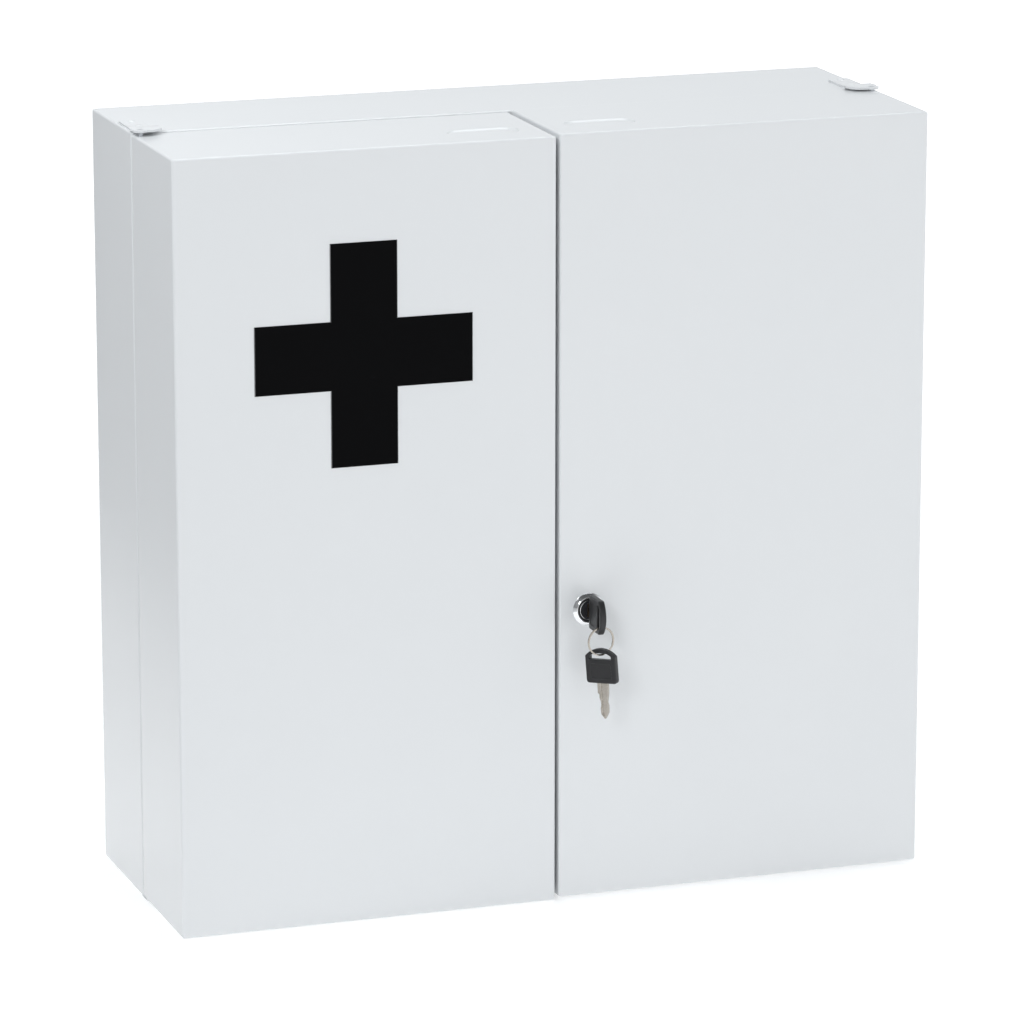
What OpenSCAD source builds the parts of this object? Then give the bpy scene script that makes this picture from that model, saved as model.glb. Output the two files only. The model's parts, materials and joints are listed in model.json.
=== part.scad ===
// Wall cabinet for medicines: a sheet-steel body with two deep box doors, locked by a cam lock.
// X runs to the right, Y to the wall and Z up. The origin is the centre of the body's base.

/* [Cabinet body] */
// Overall width
cabinet_w = 530; // [440:10:700]
// Height of the body
cabinet_h = 530; // [440:10:700]
// Depth of the body behind the doors
body_d = 100; // [90:5:160]
// Thickness of the sheet steel
sheet_t = 0.8; // [0.6:0.1:1.2]
// Outside radius of the sheet's bends
bend_r = 1.6; // [1.4:0.1:2.5]
// Width of the body's inward flange at the front and the back
body_flange_w = 12; // [10:1:18]
// Room between the back panel's edges and the walls' bends
panel_room = 0.2; // [0.1:0.1:2]

/* [Doors] */
// Depth of a door, front to back
door_d = 98.8; // [80:0.2:130]
// Gap between the doors and the body
seam_gap = 1.2; // [1.1:0.1:2]
// Gap between the two doors
meeting_gap = 2.5; // [1.5:0.1:5]
// How far the left door's top lies under the body's top
door_top_drop = 0.8; // [0.4:0.1:2]
// Width of a door's inward flange at its open side
door_flange_w = 10; // [8:1:14]

/* [Shelves] */
// Shelves in the body
body_shelves = 2; // [2:1:2]
// Shelves in each door
door_shelves = 3; // [3:1:3]
// Height of a body shelf's front lip
body_lip_h = 15; // [8:1:30]
// Height of a door shelf's retaining lip
door_lip_h = 28; // [12:1:45]
// Height of the shelves' down-turned flanges
shelf_flange_h = 10; // [6:1:16]
// Room at each end of a body shelf
shelf_end_room = 0.6; // [0.2:0.1:2]
// Leg length of a shelf bracket
bracket_leg = 12; // [8:1:18]
// Length of a shelf bracket along the wall
bracket_l = 20; // [12:1:30]
// Thickness of a shelf bracket
bracket_t = 1.5; // [1:0.1:2.5]

/* [Hinges] */
// Distance of a hinge pin from the cabinet's side
pin_inset = 4; // [4:0.1:5]
// Distance of a hinge pin from the door's open edge
pin_back = 8; // [8:0.5:12]
// Radius of a hinge pin
pin_r = 2; // [1.5:0.1:2.2]
// Radial clearance of a hinge pin in the door
pin_play = 0.08; // [0.03:0.01:0.1]
// Thickness of a hinge tab
tab_t = 1.5; // [1:0.1:2.5]
// Height of the crank in a hinge tab
tab_crank = 2; // [1.8:0.1:4]
// Radius of a hinge tab's round front
tab_front_r = 11; // [10:0.5:16]
// Radius of a hinge tab around its pin
tab_pin_r = 5; // [4.5:0.1:5.5]
// Length of a hinge tab behind the seam
tab_tail = 40; // [38:1:60]
// Distance of the first rivet behind the seam
rivet_first = 14; // [12:1:16]
// Distance between a hinge tab's rivets
rivet_pitch = 19; // [12:1:19]
// Radius of a rivet's head
rivet_head_r = 2.6; // [2:0.1:4]
// Height of a rivet's head
rivet_head_h = 0.8; // [0.4:0.1:1.6]
// Thickness of the left door's hinge washer
left_washer_t = 0.5; // [0.4:0.1:1.2]
// Thickness of the right door's hinge washer
right_washer_t = 2; // [0.6:0.1:2.2]
// Radius of a hinge washer
washer_r = 3.8; // [3:0.1:4]
// Width of the body's lower hinge ear
ear_w = 16; // [12:1:20]
// Room under a door around the lower hinge ear
ear_room = 1; // [0.5:0.1:2]
// Thickness of a door's pivot plate
pivot_plate_t = 1.5; // [1:0.1:2.5]
// Size of a door's pivot plate beyond its pin
pivot_plate_reach = 24; // [22:1:34]

/* [Finger grips] */
// Length of a finger grip
grip_l = 48; // [30:1:70]
// Width of a finger grip
grip_w = 18; // [12:1:26]
// Depth of a finger grip
grip_depth = 2.2; // [1:0.1:3]
// Distance of a finger grip's middle from the cabinet's middle
grip_x = 41; // [38:1:60]
// Distance of a finger grip's middle from the door's front
grip_y = 34; // [20:1:50]

/* [Cross] */
// Length of the cross from end to end
cross_l = 151; // [80:1:200]
// Width of the cross's arms
cross_arm = 46.5; // [25:0.5:65]
// Thickness of the cross
cross_t = 0.6; // [0.3:0.1:2]
// Distance of the cross's middle from the cabinet's middle
cross_x = 135.4; // [110:0.2:150]
// Distance of the cross's middle below the cabinet's top
cross_drop = 138.6; // [100:0.2:200]

/* [Lock] */
// Distance of the lock's axis from the cabinet's middle
lock_x = 22.4; // [20:0.1:28]
// Height of the lock's axis
lock_z = 204; // [170:0.5:225]
// Radius of the lock rosette
rosette_r = 11.4; // [10:0.1:14]
// Height of the lock rosette in front of the door
rosette_h = 2.6; // [2:0.1:4]
// Radius of the rosette's front edge
rosette_front_r = 9.3; // [9:0.1:9.8]
// Radius of the lock housing
housing_r = 8.3; // [7.8:0.1:8.5]
// Length of the lock housing behind the door's front
housing_l = 22; // [22:1:28]
// Radius of the lock plug
plug_r = 7; // [6.4:0.1:7.2]
// Radial clearance between plug and housing
plug_play = 0.06; // [0.03:0.01:0.1]
// Width of the lock nut across its flats
nut_flats = 22; // [20:0.5:26]
// Thickness of the lock nut
nut_t = 5; // [3:0.5:7]
// Side of the plug's square drive
drive_side = 7; // [6:0.1:8]
// Length of the lock cam from the lock's axis
cam_l = 35; // [33:0.5:40]
// Width of the lock cam
cam_w = 14; // [12:0.5:16]
// Thickness of the lock cam
cam_t = 2.5; // [2:0.1:3]
// Room around the cam in the doors' windows
cam_room = 3; // [2:0.1:4]

/* [Keys] */
// Width of a key's head
head_w = 23.4; // [22:0.1:26]
// Length of a key's head
head_l = 24; // [22:0.1:26]
// Thickness of a key's head
head_t = 4.4; // [3.6:0.1:4.6]
// Width of the slot in a key's head
slot_w = 4.5; // [4.3:0.1:5.2]
// Bar of the head left around the slot
head_bar = 3; // [2.4:0.1:3.2]
// Length of a key's blade
blade_l = 24.7; // [21:0.1:25]
// Width of a key's blade at the head
blade_w = 8.4; // [7:0.1:9]
// Thickness of a key's blade
blade_t = 2; // [1.4:0.1:2.2]
// Length of blade between the lock and the key's head
blade_shows = 3.7; // [3:0.1:5]
// Room around a blade in the keyway
keyway_room = 0.15; // [0.1:0.05:0.3]
// Outside diameter of the key ring
ring_d = 20; // [19.6:0.1:21]
// Diameter of the key ring's wire
ring_wire = 1.2; // [1:0.1:1.3]
// Turn of the key ring about the vertical
ring_yaw = 9; // [6:1:10]
// Turn of the hanging key about the vertical
spare_yaw = -50; // [-54:1:-44]
// Lean of the hanging key to the right
spare_lean = 5; // [0:0.2:6]
// Room between the hanging key and its ring
spare_room = 0.45; // [0.1:0.05:0.6]

/* [Catches and bolt] */
// Width of a magnetic catch
catch_w = 40; // [30:1:50]
// Height of a magnetic catch
catch_h = 13; // [10:1:16]
// Depth of a magnetic catch
catch_d = 16; // [12:1:24]
// Distance of a magnetic catch's middle from the cabinet's middle
catch_x = 60; // [40:1:120]
// Room between a catch and its strike plate
catch_room = 0.4; // [0.2:0.1:0.6]
// Radius of a door buffer
buffer_r = 4; // [3:0.5:5]
// Thickness of a door buffer
buffer_t = 0.9; // [0.6:0.1:1]
// Radius of the inner bolt
bolt_r = 3; // [2:0.1:4]
// Length of the inner bolt
bolt_l = 70; // [60:1:90]
// Travel of the inner bolt
bolt_travel = 14; // [13:1:18]
// Radial clearance of the inner bolt
bolt_play = 0.1; // [0.05:0.05:0.1]
// Height of the bolt's strike above the base
strike_z = 16; // [14:1:24]

/* [Wall holes] */
// Distance between the wall holes, left to right
wall_hole_dx = 420; // [300:10:440]
// Distance between the wall holes, top to bottom
wall_hole_dz = 400; // [300:10:420]
// Radius of a wall hole
wall_hole_r = 3.5; // [2.5:0.5:5]

/* [Hidden] */
$fn = 48;
cut = 1;
far = 2000;
left = -1;
right = 1;

body_front = -body_d / 2;
body_back = body_d / 2;
door_back = body_front - seam_gap;
door_front = door_back - door_d;
door_w = (cabinet_w - meeting_gap) / 2;
door_h = cabinet_h - left_washer_t - door_top_drop;
body_size = [cabinet_w, body_d, cabinet_h];
door_size = [door_w, door_d, door_h];
pin_x = cabinet_w / 2 - pin_inset;
pin_y = door_back - pin_back;

shelf_front = body_front + sheet_t + 1;
shelf_w = cabinet_w - 2 * (sheet_t + shelf_end_room);
shelf_d = body_back - 2 * sheet_t - 0.4 - shelf_front;

tab_top = cabinet_h + tab_crank + tab_t;
tab_middle = tab_front_r - 5.5;
tab_side = 3.5;
rivet_r = 1.5;
pin_fit = 0.02;
crank_start = body_front + 3 - pin_y;
crank_run = 4;

plug_front = door_front - rosette_h + 0.3;
plug_back = door_front + housing_l + 1;
cam_front = plug_back + 0.2;
cam_back = cam_front + cam_t;
keyway_back = plug_front - blade_shows + blade_l + 0.4;
screw_r = 2;
screw_head_r = 4.5;
screw_head_h = 2.5;
screw_l = cam_back - keyway_back - 1;

bolt_x = door_flange_w + 16;
bolt_y = door_back - 8;
bolt_lift = 4;
guide_t = 1.5;
strike_t = 2;
strike_w = 16;
strike_room = 1.3;

// A rectangle from the origin with true round corners
module round_rect(w, h, r) {
    translate([r, 0]) square([w - 2 * r, h]);
    translate([0, r]) square([w, h - 2 * r]);
    for (x = [r, w - r], y = [r, h - r]) translate([x, y]) circle(r);
}

// A box from the origin whose twelve edges are bent to one radius
module bent_box(size, r) {
    intersection() {
        linear_extrude(size[2]) round_rect(size[0], size[1], r);
        translate([0, size[1], 0]) rotate([90, 0, 0])
            linear_extrude(size[1]) round_rect(size[0], size[2], r);
        rotate([90, 0, 90]) linear_extrude(size[0]) round_rect(size[1], size[2], r);
    }
}

// The four walls of a folded sheet box with all its bends, open at the front and the back
module folded_walls(size) {
    window = [size[0] - 2 * bend_r, 2 * size[1], size[2] - 2 * bend_r];
    difference() {
        bent_box(size, bend_r);
        translate([sheet_t, sheet_t, sheet_t])
            bent_box([for (s = size) s - 2 * sheet_t], bend_r - sheet_t);
        translate([bend_r, -size[1] / 2, bend_r]) cube(window);
    }
}

// The top and the bottom wall of a folded box, with the bends at their ends
module end_walls(size) {
    intersection() {
        folded_walls(size);
        for (z = [0, size[2] - bend_r]) translate([0, 0, z]) cube([size[0], size[1], bend_r]);
    }
}

// The two side walls of a folded box, between the bends of its top and its bottom
module side_walls(size) {
    intersection() {
        folded_walls(size);
        for (x = [0, size[0] - bend_r])
            translate([x, 0, bend_r]) cube([bend_r, size[1], size[2] - 2 * bend_r]);
    }
}

// The inward flange that runs round a folded box's open side, between its bends
module turned_flange(size, flange_w) {
    difference() {
        translate([bend_r, 0, bend_r]) cube([size[0] - 2 * bend_r, sheet_t, size[2] - 2 * bend_r]);
        translate([flange_w, -cut, flange_w])
            cube([size[0] - 2 * flange_w, sheet_t + 2 * cut, size[2] - 2 * flange_w]);
    }
}

// A cylinder that runs along Y from one depth to another
module along_y(r, y_from, y_to, sides = 48) {
    translate([0, y_from, 0]) rotate([-90, 0, 0]) cylinder(r = r, h = y_to - y_from, $fn = sides);
}

// Puts a piece at the lower hinge pin of one side, mirrored so that +X runs to the middle
module at_hinge(side) {
    translate([side * pin_x, pin_y, 0]) mirror([side > 0 ? 1 : 0, 0, 0]) children();
}

// The body's top and bottom, with the ears at the bottom's front that carry the lower hinge pins
module body_end_walls() {
    ear_back = body_front + bend_r + cut - pin_y;
    color("whitesmoke") {
        translate([-cabinet_w / 2, body_front, 0]) end_walls(body_size);
        for (side = [left, right]) at_hinge(side) difference() {
            linear_extrude(sheet_t) {
                circle(pin_inset);
                translate([0, -pin_inset]) square([ear_w - pin_inset, ear_back + pin_inset]);
                translate([-pin_inset, 0]) square([ear_w, ear_back]);
            }
            translate([0, 0, -cut]) cylinder(r = pin_r + pin_fit, h = 2 * cut + sheet_t);
        }
    }
}

module body_side_walls() {
    color("whitesmoke") translate([-cabinet_w / 2, body_front, 0]) side_walls(body_size);
}

// The body's flange at its front or its back
module body_flange(y) {
    color("whitesmoke") translate([-cabinet_w / 2, y, 0]) turned_flange(body_size, body_flange_w);
}

module back_panel() {
    room = bend_r + panel_room;
    color("gainsboro") difference() {
        translate([room - cabinet_w / 2, body_back - 2 * sheet_t, room])
            cube([cabinet_w - 2 * room, sheet_t, cabinet_h - 2 * room]);
        for (x = [-1, 1], z = [-1, 1])
            translate([x * wall_hole_dx / 2, 0, cabinet_h / 2 + z * wall_hole_dz / 2])
                along_y(wall_hole_r, body_back - 2 * sheet_t - cut, body_back);
    }
}

// Height of a body shelf's floor, counted from the bottom
function body_shelf_z(i) = sheet_t + i * (cabinet_h - 2 * sheet_t) / (body_shelves + 1);

// The floor of a body shelf, from its front left corner
module body_shelf(i) {
    color("white") at_body_shelf(i) cube([shelf_w, shelf_d, sheet_t]);
}

// The lip that stands at a body shelf's front and the flange turned down at its back
module body_shelf_lips(i) {
    color("white") at_body_shelf(i) {
        translate([0, 0, sheet_t]) cube([shelf_w, sheet_t, body_lip_h - sheet_t]);
        translate([0, shelf_d - sheet_t, -shelf_flange_h]) cube([shelf_w, sheet_t, shelf_flange_h]);
    }
}

module at_body_shelf(i) {
    translate([-shelf_w / 2, shelf_front, body_shelf_z(i)]) children();
}

// Four angle brackets on the side walls under one body shelf
module shelf_brackets(i) {
    wall = cabinet_w / 2 - sheet_t;
    color("silver") for (side = [left, right], y = [-body_d / 4, body_d / 4])
        translate([side * wall, y - bracket_l / 2, body_shelf_z(i)]) mirror([side > 0 ? 1 : 0, 0, 0]) {
            translate([0, 0, -bracket_leg]) cube([bracket_t, bracket_l, bracket_leg]);
            translate([0, 0, -bracket_t]) cube([bracket_leg, bracket_l, bracket_t]);
        }
}

// Plan of a hinge tab around its pin: a round front, a meaty eye for the pin and a straight tail
module tab_outline() {
    back = body_front + tab_tail - pin_y;
    half = tab_front_r - tab_side;
    corner = 3;
    circle(tab_pin_r);
    translate([tab_middle, tab_front_r - 3.8]) circle(tab_front_r);
    translate([tab_middle - half, tab_front_r]) square([2 * half, back - tab_front_r - corner]);
    translate([tab_middle - half + corner, tab_front_r]) square([2 * (half - corner), back - tab_front_r]);
    for (x = [corner - half, half - corner]) translate([tab_middle + x, back - corner]) circle(corner);
}

// A cranked strap riveted on the body's top, reaching over the door to its pin
module hinge_tab(side) {
    back = body_front + tab_tail - pin_y;
    crank_end = crank_start + crank_run;
    color("whitesmoke") at_hinge(side) translate([0, 0, cabinet_h]) difference() {
        intersection() {
            linear_extrude(tab_crank + tab_t) tab_outline();
            translate([-far / 2, 0, 0]) rotate([90, 0, 90]) linear_extrude(far) polygon([
                [-far / 2, tab_crank], [crank_start, tab_crank], [crank_end, 0], [back + cut, 0],
                [back + cut, tab_t], [crank_end, tab_t], [crank_start, tab_crank + tab_t],
                [-far / 2, tab_crank + tab_t]
            ]);
        }
        translate([0, 0, -cut]) cylinder(r = pin_r + pin_fit, h = far);
        for (y = [0, rivet_pitch]) translate([tab_middle, rivet_first + body_front - pin_y + y, -cut])
            cylinder(r = rivet_r, h = far);
    }
}

module tab_rivets(side) {
    color("whitesmoke") at_hinge(side) for (y = [0, rivet_pitch])
        translate([tab_middle, rivet_first + body_front - pin_y + y, cabinet_h]) {
            cylinder(r = rivet_r - pin_fit, h = tab_t);
            translate([0, 0, tab_t]) cylinder(r1 = rivet_head_r, r2 = rivet_head_r * 0.6, h = rivet_head_h);
        }
}

// How far a door's bottom lies above the base
function door_z(side) = side < 0 ? left_washer_t : right_washer_t;

module upper_pin(side) {
    bottom = cabinet_h - door_top_drop - sheet_t - 3;
    color("silver") at_hinge(side) translate([0, 0, bottom]) cylinder(r = pin_r, h = tab_top - bottom);
}

module lower_pin(side) {
    top = sheet_t + door_z(side) + pivot_plate_t;
    color("silver") at_hinge(side) {
        cylinder(r = pin_r, h = top);
        translate([0, 0, top]) cylinder(r1 = pin_r, r2 = pin_r / 2, h = 1.5);
    }
}

module hinge_washer(side) {
    color("ivory") at_hinge(side) translate([0, 0, sheet_t]) difference() {
        cylinder(r = washer_r, h = door_z(side));
        translate([0, 0, -cut]) cylinder(r = pin_r + pin_fit, h = far);
    }
}

module door_buffers() {
    color("dimgray") for (side = [left, right], z = [body_flange_w / 2, cabinet_h - body_flange_w / 2])
        translate([side * (meeting_gap / 2 + buffer_r + 3), 0, z])
            along_y(buffer_r, body_front - buffer_t, body_front);
}

// Height of a magnetic catch's underside
catch_z = cabinet_h - body_flange_w - catch_h;
strike_plate_t = 1;

// A magnet case under the body's top flange, its face looking at the strike plate
module magnet_catch(side) {
    face = door_back - sheet_t + catch_room;
    ear = body_front + sheet_t;
    ear_h = body_flange_w - bend_r - 1;
    color("white") translate([side * catch_x, 0, catch_z]) {
        translate([-catch_w / 2, face, 0]) cube([catch_w, catch_d, catch_h]);
        translate([-catch_w / 2, ear, catch_h - cut]) cube([catch_w, 3, ear_h + cut]);
    }
}

// The strike plate hangs from the inner face of the door's top flange
module catch_strike(side) {
    top = door_z(side) + door_h - bend_r - 1;
    y = door_back - sheet_t - strike_plate_t;
    color("silver") translate([side * catch_x - catch_w / 2, y, catch_z])
        cube([catch_w, strike_plate_t, top - catch_z]);
}

// An angle behind the body's bottom flange that takes the left door's bolt
module bolt_strike() {
    hole = 2 * (bolt_r + strike_room);
    front = bolt_y - hole / 2 - 3;
    back = body_front + sheet_t + strike_t;
    color("silver") translate([-bolt_x - strike_w / 2, 0, 0]) difference() {
        union() {
            translate([0, front, strike_z]) cube([strike_w, back - front, strike_t]);
            translate([0, back - strike_t, bend_r + 1])
                cube([strike_w, strike_t, strike_z + strike_t - bend_r - 1]);
        }
        translate([strike_w / 2 - hole / 2, bolt_y - hole / 2, strike_z - cut])
            cube([hole, hole, strike_t + 2 * cut]);
    }
}

// The space that the body's lower hinge ear sweeps as the door turns
module ear_notch(side) {
    reach = norm([ear_w - pin_inset, body_front - pin_y]) + ear_room;
    translate([0, 0, -cut]) cylinder(r = reach, h = cut + door_z(side) + sheet_t + 0.1);
}

module grip_outline(inset) {
    l = grip_l - 2 * inset;
    w = grip_w - 2 * inset;
    translate([w / 2 - l / 2, -w / 2]) square([l - w, w]);
    for (x = [w / 2 - l / 2, l / 2 - w / 2]) translate([x, 0]) circle(w / 2);
}

// The left edge of a door
function door_left(side) = side < 0 ? -cabinet_w / 2 : meeting_gap / 2;

// The flange at a door's open back
module door_flange(side) {
    color("whitesmoke") translate([door_left(side), door_back - sheet_t, door_z(side)])
        turned_flange(door_size, door_flange_w);
}

// The flat face of a door between its bends; the right one has the lock's hole
module door_face(side) {
    color("whitesmoke") difference() {
        translate([door_left(side) + bend_r, door_front, door_z(side) + bend_r])
            cube([door_w - 2 * bend_r, sheet_t, door_h - 2 * bend_r]);
        if (side > 0) translate([lock_x, 0, lock_z]) along_y(housing_r + 0.1, door_front - cut, door_front + 2);
    }
}

// A door's top, with the finger grip pressed in it, and its bottom, notched for the body's ear
module door_end_walls(side) {
    low = door_z(side);
    top = low + door_h;
    color("whitesmoke") difference() {
        union() {
            translate([door_left(side), door_front, low]) end_walls(door_size);
            translate([side * grip_x, door_front + grip_y, top - grip_depth - sheet_t])
                linear_extrude(grip_depth + sheet_t / 2) grip_outline(-sheet_t);
        }
        translate([side * grip_x, door_front + grip_y, top - grip_depth])
            linear_extrude(grip_depth + cut) grip_outline(0);
        at_hinge(side) {
            ear_notch(side);
            cylinder(r = pin_r + pin_play, h = far);
        }
    }
}

// A door's side walls; the one at the other door is left open over the whole height of the cam's slot
module door_side_walls(side) {
    color("whitesmoke") difference() {
        translate([door_left(side), door_front, door_z(side)]) side_walls(door_size);
        cam_band(0, cabinet_h);
    }
}

// The strips of a door's meeting wall above and below the cam's slot
module door_slot_ends(side) {
    color("whitesmoke") difference() {
        intersection() {
            translate([door_left(side), door_front, door_z(side)]) side_walls(door_size);
            cam_band(0, cabinet_h);
        }
        cam_band(lock_z - cam_l - cam_room, lock_z + cam_w / 2 + cam_room);
    }
}

// The space at both meeting walls that is as deep as the cam's slot
module cam_band(low, high) {
    translate([-meeting_gap / 2 - 2 * sheet_t, cam_front - cam_room, low])
        cube([meeting_gap + 4 * sheet_t, cam_t + 2 * cam_room, high - low]);
}

module pivot_plate(side) {
    wall = pin_inset - bend_r;
    behind = pin_back - bend_r;
    low = door_z(side) + sheet_t;
    color("silver") at_hinge(side) difference() {
        translate([-wall, -pivot_plate_reach, low])
            cube([wall + pivot_plate_reach, pivot_plate_reach + behind, pivot_plate_t]);
        cylinder(r = pin_r + pin_play, h = far);
    }
}

// Height of a door shelf's floor above the door's bottom, counted from the bottom
function door_shelf_z(i) = i * door_h / (door_shelves + 1);

module door_shelf(side, i) {
    room = sheet_t + 0.02;
    w = door_w - 2 * room;
    d = door_d - sheet_t - 4;
    x = side < 0 ? room - cabinet_w / 2 : meeting_gap / 2 + room;
    clear = bend_r - sheet_t + 0.1;
    color("white") translate([x, door_front + sheet_t, door_z(side) + door_shelf_z(i)]) {
        linear_extrude(sheet_t) {
            translate([0, clear]) square([w, d - clear]);
            translate([clear, 0]) square([w - 2 * clear, d]);
        }
        translate([0, d - sheet_t, 0]) cube([w, sheet_t, door_lip_h]);
        for (end = [0, w - sheet_t]) translate([end, clear, -shelf_flange_h])
            cube([sheet_t, d - clear, shelf_flange_h + sheet_t]);
        translate([clear, 0, -shelf_flange_h]) cube([w - 2 * clear, sheet_t, shelf_flange_h + sheet_t]);
    }
}

module cross_sign() {
    color([0.04, 0.04, 0.045]) translate([-cross_x, door_front - cross_t, cabinet_h - cross_drop]) {
        translate([-cross_l / 2, 0, -cross_arm / 2]) cube([cross_l, cross_t, cross_arm]);
        translate([-cross_arm / 2, 0, -cross_l / 2]) cube([cross_arm, cross_t, cross_l]);
    }
}

// The bolt slides in two ears of a guide that is welded to the left door's meeting wall
module bolt_guide() {
    wall_x = -meeting_gap / 2 - sheet_t;
    low = strike_z + strike_t + bolt_lift + 4;
    h = bolt_l - bolt_travel - 12;
    end = -bolt_x - bolt_r - 3;
    front = bolt_y - bolt_r - 3;
    depth = 2 * bolt_r + 4.5;
    color("silver") difference() {
        union() {
            translate([wall_x - guide_t, front, low]) cube([guide_t, depth, h]);
            for (z = [low, low + h - guide_t]) translate([end, front, z]) cube([wall_x - end, depth, guide_t]);
        }
        translate([-bolt_x, bolt_y, 0]) cylinder(r = bolt_r + bolt_play, h = far);
    }
}

module door_bolt() {
    low = strike_z + strike_t + bolt_lift;
    color("silver") translate([-bolt_x, bolt_y, low]) {
        cylinder(r = bolt_r, h = bolt_l);
        translate([0, 0, bolt_l]) cylinder(r = bolt_r + 2.5, h = 5);
    }
}

// Turns a piece that is drawn along the lock's axis into its place
module at_lock() {
    translate([lock_x, 0, lock_z]) children();
}

module lock_rosette() {
    color("lightgray") at_lock() translate([0, door_front, 0]) rotate([90, 0, 0]) rotate_extrude() polygon([
        [housing_r + 0.05, 0], [rosette_r, 0], [rosette_r, 0.5],
        [rosette_front_r, rosette_h], [housing_r + 0.05, rosette_h]
    ]);
}

module lock_housing() {
    color([0.12, 0.12, 0.13]) at_lock() difference() {
        along_y(housing_r, door_front - rosette_h + 0.2, door_front + housing_l);
        along_y(plug_r + plug_play, door_front - rosette_h - cut, door_front + housing_l + cut);
    }
}

module lock_nut() {
    color("silver") at_lock() difference() {
        along_y(nut_flats / sqrt(3), door_front + sheet_t, door_front + sheet_t + nut_t, 6);
        along_y(housing_r + 0.05, door_front, door_front + sheet_t + nut_t + cut);
    }
}

module lock_plug() {
    slot = [blade_t + 2 * keyway_room, keyway_back - plug_front + cut, blade_w + 2 * keyway_room];
    color([0.1, 0.1, 0.1]) at_lock() difference() {
        union() {
            along_y(plug_r, plug_front, plug_back);
            translate([-drive_side / 2, plug_back - cut, -drive_side / 2])
                cube([drive_side, cam_back - plug_back + cut, drive_side]);
        }
        translate([-slot[0] / 2, plug_front - cut, -slot[2] / 2]) cube(slot);
        along_y(screw_r + pin_fit, cam_back - screw_l, cam_back + cut);
    }
}

// The cam hangs down while the doors are unlocked
module lock_cam() {
    color("silver") at_lock() translate([0, cam_front, 0]) rotate([-90, 0, 0]) difference() {
        linear_extrude(cam_t) {
            circle(cam_w / 2);
            translate([-cam_w / 2, 0]) square([cam_w, cam_l - 2]);
            translate([2 - cam_w / 2, 0]) square([cam_w - 4, cam_l]);
            for (x = [2 - cam_w / 2, cam_w / 2 - 2]) translate([x, cam_l - 2]) circle(2);
        }
        translate([-drive_side / 2 - 0.05, -drive_side / 2 - 0.05, -cut])
            cube([drive_side + 0.1, drive_side + 0.1, cam_t + 2 * cut]);
    }
}

module cam_screw() {
    color("silver") at_lock() {
        along_y(screw_r, cam_back - screw_l + 0.2, cam_back);
        along_y(screw_head_r, cam_back, cam_back + screw_head_h, 6);
    }
}

// A key's head lies in X and Z with its middle plane at Y = 0; the blade leaves it at the origin
module head_outline() {
    half = head_w / 2;
    shoulder = head_l - 4.6;
    corner = 2.5;
    translate([corner - half, 0]) square([head_w - 2 * corner, shoulder]);
    translate([-half, corner]) square([head_w, shoulder - corner]);
    for (x = [corner - half, half - corner]) translate([x, corner]) circle(corner);
    polygon([
        [-half, shoulder - cut], [half, shoulder - cut], [half, shoulder], [half - 3.2, head_l - 1.6],
        [half - 7, head_l - 0.3], [half - 9, head_l], [9 - half, head_l], [7 - half, head_l - 0.3],
        [3.2 - half, head_l - 1.6], [-half, shoulder]
    ]);
}

module head_slot_outline() {
    low = head_l - head_bar - slot_w;
    half = head_w / 2 - head_bar;
    translate([-half, low]) square([2 * half, slot_w * 0.55]);
    polygon([
        [-half, low + slot_w * 0.5], [half, low + slot_w * 0.5], [half, low + slot_w * 0.6],
        [half - 2.4, low + slot_w], [2.4 - half, low + slot_w], [-half, low + slot_w * 0.6]
    ]);
}

module key_head_shape() {
    panel = [head_w - 7, head_l - head_bar - slot_w - 5.6];
    panel_depth = 0.5;
    rotate([90, 0, 0]) translate([0, 0, -head_t / 2]) difference() {
        linear_extrude(head_t) head_outline();
        translate([0, 0, -cut]) linear_extrude(head_t + 2 * cut) head_slot_outline();
        for (z = [-cut, head_t - panel_depth])
            translate([-panel[0] / 2, 2.8, z]) cube([panel[0], panel[1], panel_depth + cut]);
    }
}

// The blade hangs from the head's end, stepped on both edges and grooved along one face
module key_blade_shape() {
    half = blade_w / 2;
    groove = [1.4, 0.5];
    rotate([90, 0, 0]) translate([0, 0, -blade_t / 2]) difference() {
        linear_extrude(blade_t) polygon([
            [-half, 0], [-half, -blade_l * 0.3], [-half * 0.66, -blade_l * 0.4], [-half * 0.72, -blade_l * 0.52],
            [-half * 0.52, -blade_l * 0.6], [-half * 0.62, -blade_l * 0.72], [-half * 0.6, -blade_l * 0.9],
            [0, -blade_l], [half * 0.6, -blade_l * 0.9], [half * 0.62, -blade_l * 0.64],
            [half * 0.42, -blade_l * 0.55], [half * 0.8, -blade_l * 0.42], [half, -blade_l * 0.3], [half, 0]
        ]);
        translate([0.3, -blade_l - cut, blade_t - groove[1]]) cube([groove[0], blade_l - 2, far]);
    }
}

// The key in the lock: its blade points to the back and its head stands upright
module at_key() {
    translate([lock_x, plug_front - blade_shows, lock_z]) rotate([90, 0, 0]) rotate([0, 0, 90]) children();
}

// The ring hangs on the bar at the lower end of the first key's slot, clear of the bar as it turns
bar_reach = norm([head_t / 2, head_bar / 2]);
ring_inner = ring_d / 2 - ring_wire;
ring_middle = (ring_d - ring_wire) / 2;
bar_y = plug_front - blade_shows - head_l + head_bar + slot_w * 0.55;
bar_z = lock_z - head_w / 2 + head_bar / 2;
ring_z = bar_z - ring_inner + bar_reach + 0.1;

module key_ring() {
    color("silver") translate([lock_x, bar_y, ring_z]) rotate([0, 0, ring_yaw]) rotate([90, 0, 0])
        rotate_extrude() translate([ring_middle, 0]) circle(ring_wire / 2, $fn = 24);
}

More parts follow.
